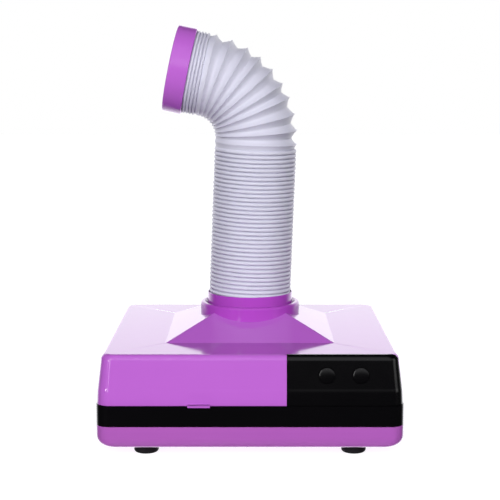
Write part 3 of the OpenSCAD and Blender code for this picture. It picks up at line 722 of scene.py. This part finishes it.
# ---------- Drawer front ----------
# The purple front of the dust drawer: a hollow shell that follows the housing's outline,
# screwed to the tray, with a small tab over the black band to pull it by.
def front_shell(name, from_x, to_x):
    """The part of the housing's outline in front of the seam between two X values, hollow
    and open at the back."""
    closed = np.concatenate([[(deck_top, 0, 0), (deck_top, foot_half - edge, corner_r - edge)],
                             upper_walls(), [(top_z, 0, 0)]])
    shell = build(name, square_rows(closed))
    trim(shell, (from_x, 0, 0), (-1, 0, 0), abs(from_x) < half)
    trim(shell, (to_x, 0, 0), (1, 0, 0), abs(to_x) < half)
    trim(shell, (0, seam_y, 0), (0, 1, 0), False)
    thick = shell.modifiers.new("wall", "SOLIDIFY")
    thick.thickness = wall / 1000
    thick.offset = -1
    thick.use_even_offset = True
    settle(shell)
    return shell


drawer_low, drawer_high = span("drawer_front")
half_seam = 0.1
split_x = drawer_high[0] + half_seam
front = front_shell("purple_drawer_front", -2 * half, split_x - half_seam)
tab_x, tab_half, tab_round = -45.4, 10, 0.5
tab_width = (tab_x - tab_half, tab_x + tab_half)
tab_face, tab_top = drawer_low[1], deck_top + 1.9
ledge = block(tab_width, (tab_face, tab_face + 2.6), (deck_top + 0.2, tab_top), tab_round)
grip = block(tab_width, (tab_face, tab_face + 1.3), (deck_top - 1.2, tab_top), tab_round)
merge(front, build("tab", ledge, grip))
upright = np.array(Matrix.Rotation(math.pi / 2, 3, "X"))
stud_bore, stud_r, stud_l, stud_z = 1.25, 3.5, 6, 68
stud = [(stud_bore, 0), (stud_bore, stud_l), (stud_r, stud_l + 0.5), (stud_r, 0.3),
        (stud_r - 0.3, 0), (stud_bore, 0)]
merge(front, build("studs", *[lathe(stud, (x, seam_y, stud_z), upright, 24)
                              for x in (-100, -48, 4)]))
smooth(front)
fit(front, "drawer", "purple_abs", purple_abs, "drawer_front")


# ---------- Drawer tray and filter ----------
# A grey tray that catches the dust. A pleated paper filter in its own frame lies over the
# slots in its floor.
dress(grey_pp, "drawer_tray", "filter_frame")
filter_paper, tree = blank_material("pleated filter paper")
place = add_node(tree, "TexCoord").outputs["Object"]
# fibres: short strands about 0.8 mm wide and 5 mm long
strands = add_node(tree, "Mapping", {"Vector": place, "Scale": (1 / 0.0008, 1 / 0.005, 1 / 0.0008)})
fibre = add_node(tree, "TexNoise", {"Vector": strands.outputs["Vector"], "Scale": 1.0,
                                    "Detail": 5.0})
tone = add_node(tree, "MixRGB", {"Fac": fibre.outputs["Fac"], "Color1": linear("dcdad2"),
                                 "Color2": linear("f2f1ec")})
relief = add_node(tree, "Bump", {"Height": fibre.outputs["Fac"], "Distance": 0.0001})
skin = add_node(tree, "BsdfPrincipled", {"Base Color": tone.outputs["Color"], "Roughness": 0.9,
                                         "Normal": relief.outputs["Normal"]})
add_node(tree, "OutputMaterial", {"Surface": skin.outputs[0]})
dress(filter_paper, "filter_media")


# ---------- Control panel ----------
# The black right-hand end of the front, a separate ABS shell flush with the drawer front,
# with two round holes for the buttons.
button_x, button_pitch, button_z, button_r = 83, 30, 76, 7
front_turn = np.array(Matrix.Rotation(math.pi / 2 - face_tilt, 3, "X"))


def front_point(x, z):
    """The point of the front face at that X and height, above the crease."""
    return x, (z - crease_z) * math.tan(face_tilt) - crease_half, z


panel = front_shell("black_control_panel", split_x + half_seam, 2 * half)
button_places = [front_point(button_x + side * button_pitch / 2, button_z) for side in (-1, 1)]
hole_r, hole_chamfer = button_r + 0.25, 0.8
hole = [(0, -8), (hole_r, -8), (hole_r, -0.3), (hole_r + hole_chamfer, 0.5), (0, 0.5)]
cut(panel, *[build("button_hole", lathe(hole, at, front_turn, 64)) for at in button_places])
smooth(panel)
fit(panel, "housing", "black_abs", black_abs, "control_panel")


# ---------- Buttons ----------
# Two domed black caps of satin ABS, one for power and one for the speed. A flange behind the
# panel keeps each in its hole, and its stem presses a small switch.
dome_h, dome_foot = 0.8, 0.1
press_r, press_end = 2, -6.2
flange_r, flange_back, flange_front = button_r + 1.4, -4, -3
a = np.radians(np.arange(0, 91, 6))
dome = np.stack([button_r * np.cos(a), dome_foot + dome_h * np.sin(a)], 1)
cap = np.concatenate([
    [(0, press_end), (press_r, press_end), (press_r, flange_back), (flange_r, flange_back),
     (flange_r, flange_front), (button_r, flange_front)], dome])
for name, at in zip(("power_button", "speed_button"), button_places):
    button = build("domed_" + name, lathe(cap, at, front_turn, 96))
    smooth(button, 35)
    fit(button, name, "black_abs", black_abs, name)


# ---------- Hose cuff ----------
# The sleeve that turns in the collar. It is the collar's colour, and the hose is glued in it.
cuff_top = cuff_high[2]
hose_r = 39.6
cuff_bore, glue_r, glue_foot = 36, hose_r + 0.5, cuff_top - 16
cuff_profile = [
    (cuff_bore, cuff_low[2]), (cuff_r, cuff_low[2]), (cuff_r, cuff_top - 0.7),
    (cuff_r - 0.2, cuff_top - 0.2), (cuff_r - 0.7, cuff_top), (glue_r + 0.25, cuff_top),
    (glue_r, cuff_top - 0.4), (glue_r, glue_foot), (cuff_bore, glue_foot),
    (cuff_bore, cuff_low[2])]
cuff = build("deep_purple_cuff", lathe(cuff_profile, columns=160))
smooth(cuff, 35)
fit(cuff, "hose_base", "purple_abs", deep_abs, "hose_cuff")


# ---------- Hose ----------
# One bellows tube of thin white plastic. Pushed together it is a stack of soft rings 4 mm
# apart; where it bends the rings are pulled out into ten deep pleats with sharp ridges.
# Blow-moulded EVA: satin, white with a cool lavender cast.
bellows, tree = blank_material("satin white blow-moulded EVA")
place = add_node(tree, "TexCoord").outputs["Object"]
cloud = add_node(tree, "TexNoise", {"Vector": place, "Scale": 1 / 0.03, "Detail": 3.0})
tone = add_node(tree, "MixRGB", {"Fac": cloud.outputs["Fac"], "Color1": linear("cbcada"),
                                 "Color2": linear("d1d0df")})
# fine drawn wrinkles of the film, 0.8 mm wide
film = add_node(tree, "TexNoise", {"Vector": place, "Scale": 1 / 0.0008, "Detail": 2.0})
relief = add_node(tree, "Bump", {"Height": film.outputs["Fac"], "Distance": 0.00002})
gloss = add_node(tree, "MapRange", {"Value": cloud.outputs["Fac"], "To Min": 0.36, "To Max": 0.46})
skin = add_node(tree, "BsdfPrincipled", {"Base Color": tone.outputs["Color"], "IOR": 1.48,
                                         "Roughness": gloss.outputs["Result"],
                                         "Normal": relief.outputs["Normal"]})
add_node(tree, "OutputMaterial", {"Surface": skin.outputs[0]})

lean = math.radians(2.2)
bend_z, bend_r, bend_angle = 278, 59.5, math.radians(80.4)
neck_l = 16.3
trunk_end = 111
ring_pitch, ring_depth = 4.03, 2.3
hose_wall = 0.9
hose_columns = 112
straight_l = (bend_z - cuff_top) / math.cos(lean)
arc_l = bend_r * bend_angle
neck_angle = bend_angle - lean
along = np.array([math.sin(lean), math.cos(lean)])
bend_start = np.array([straight_l * along[0], bend_z])
bend_centre = bend_start - bend_r * np.array([along[1], -along[0]])
bend_end = bend_centre + bend_r * np.array([math.cos(neck_angle), math.sin(neck_angle)])
neck_along = np.array([-math.sin(neck_angle), math.cos(neck_angle)])
# how far the rings tip forward, in degrees, at distances along the middle line
tip_at, tip_by = (-straight_l, -20, 40, arc_l + neck_l), (0, 2.6, 2.0, 0)


def middle_line(s):
    """Point and angle of the hose's middle line in the XZ plane, s from the start of the
    bend: a straight line, then an arc, then a straight line."""
    angle = np.clip(s / bend_r - lean, -lean, neck_angle)
    on_arc = bend_centre + bend_r * np.stack([np.cos(angle), np.sin(angle)], -1)
    before = np.minimum(s, 0)[:, None] * along
    after = np.maximum(s - arc_l, 0)[:, None] * neck_along
    return on_arc + before + after, angle


def bellows_skin(s, depth, columns):
    """Rings round the middle line: at s and angle u the radius is the hose's less the depth,
    and the point is line + r (cos u cos a, sin u, cos u sin a). The rings tip forward by up
    to 2.6 degrees along the straight stretch and come level again at the nozzle."""
    u = around(columns)
    line, angle = middle_line(s)
    radius = hose_r - depth
    tip = np.radians(np.interp(s, tip_at, tip_by))[:, None]
    y = radius * np.sin(u)
    cos_a, sin_a = np.cos(angle)[:, None], np.sin(angle)[:, None]
    x = line[:, :1] + radius * np.cos(u) * cos_a - sin_a * y * np.tan(tip)
    z = line[:, 1:] + radius * np.cos(u) * sin_a + cos_a * y * np.tan(tip)
    return np.stack([x, y, z], -1)


def tube(s, depth, columns):
    """A closed wall between the outer skin and one a wall's thickness inside it."""
    outer = bellows_skin(s, depth, columns)
    inner = bellows_skin(s, depth + hose_wall, columns)
    return np.concatenate([outer, inner[::-1], outer[:1]])


def soft_ring(t):
    """Depth of a pushed-together ring: a wide round crest at t = 0.5 and a narrow groove at
    0 and 1, as 1 - |sin(pi t)| ^ 0.5."""
    return 1 - np.abs(np.sin(np.pi * t)) ** 0.5


def ring_rows(start, length, count, samples=11):
    """Distances start + i length / count and depths of a stretch of soft rings, without its
    last row."""
    t = np.arange(count * samples) / samples
    return start + t * length / count, ring_depth * soft_ring(t % 1)


trunk_n = math.floor((trunk_end + 12) / ring_pitch)
trunk_from = trunk_end - trunk_n * ring_pitch - straight_l
trunk_to = trunk_end - straight_l
s, depth = ring_rows(trunk_from, trunk_to - trunk_from, trunk_n, 10)
s, depth = np.append(s, trunk_to), np.append(depth, ring_depth)
trunk = build("white_hose_trunk", tube(s, depth[:, None], hose_columns))
smooth(trunk, 60, has_flats=False)
trunk.data.materials.append(bellows)
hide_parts("hose_trunk")
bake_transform(trunk)

pleats, lower_n, neck_n = 10, 7, 6
pleat_from, pleat_l = -8.3, arc_l + 12
neck_end = arc_l + neck_l + 6
pleat_depth, inner_depth = 2.5, 1.1
samples = 22
below_s, below = ring_rows(trunk_to, pleat_from - trunk_to, lower_n)
above_s, above = ring_rows(pleat_from + pleat_l, neck_end - pleat_from - pleat_l, neck_n)
t = np.arange(pleats * samples) / samples
# rows gather at the ridge, where the shape turns sharply
phase = t % 1
phase = phase + 0.09 * np.sin(4 * np.pi * phase)
# hand-pulled pleats: their ridges wander by up to half a millimetre
wander = 0.45 * np.sin(t * 2.3) * np.sin(np.pi * t / pleats)
pleat_s = pleat_from + (t // 1 + phase) * pleat_l / pleats + wander
# from 1 in a valley to 0 on a ridge, with nearly straight sides
fold = np.abs(np.cos(np.pi * phase)) ** 1.05
# a crease along each valley, and a groove beside each ridge that leaves it as a bead
crease_depth, crease_share = 0.7, 0.06
bead_depth, bead_at, bead_share = 0.6, 0.61, 0.05
nearest = np.minimum(phase, 1 - phase)
groove = (crease_depth * np.exp(-(nearest / crease_share) ** 2)
          + bead_depth * np.exp(-((phase - bead_at) / bead_share) ** 2))
# the first and the last valley are only as deep as a ring
at_end = (t < 0.5) | (t > pleats - 0.5)
extra = ring_depth - inner_depth + np.where(at_end, 0, pleat_depth)
all_s = np.concatenate([below_s, pleat_s, above_s, [neck_end]])
shallow = np.concatenate([below, inner_depth * fold, above, [ring_depth]])
deep = np.concatenate([below * 0, extra * fold + groove, above * 0, [0]])
outside_share = (1 + np.cos(around(hose_columns))) / 2
depth = shallow[:, None] + deep[:, None] * outside_share
elbow = build("white_hose_elbow", tube(all_s, depth, hose_columns))
smooth(elbow, 60, has_flats=False)
elbow.data.materials.append(bellows)
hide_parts("hose_elbow")
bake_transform(elbow)


# ---------- Nozzle ring ----------
# A plain purple ring glued over the hose's end, which keeps its mouth round.
nozzle_r, nozzle_l, mouth_r = 41.6, 18.8, 38
back_round, front_round, mouth_round = 1.2, 1.4, 0.8
sleeve_r = hose_r + 0.3
nozzle_profile = np.concatenate([
    [(sleeve_r, 0)], arc((nozzle_r - back_round, back_round), back_round, -90, 0, 15),
    arc((nozzle_r - front_round, nozzle_l - front_round), front_round, 0, 90, 15),
    arc((mouth_r + mouth_round, nozzle_l - mouth_round), mouth_round, 90, 180, 30),
    [(mouth_r, 8), (sleeve_r, 7), (sleeve_r, 0)]])
nozzle_start = bend_end + neck_l * neck_along
nozzle_turn = np.array(Matrix.Rotation(-neck_angle, 3, "Y"))
nozzle = build("purple_nozzle_ring", lathe(nozzle_profile, (nozzle_start[0], 0, nozzle_start[1]),
                                           nozzle_turn, 160))
smooth(nozzle, 35)
fit(nozzle, "nozzle", "purple_abs", purple_abs, "nozzle_ring")


low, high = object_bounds()
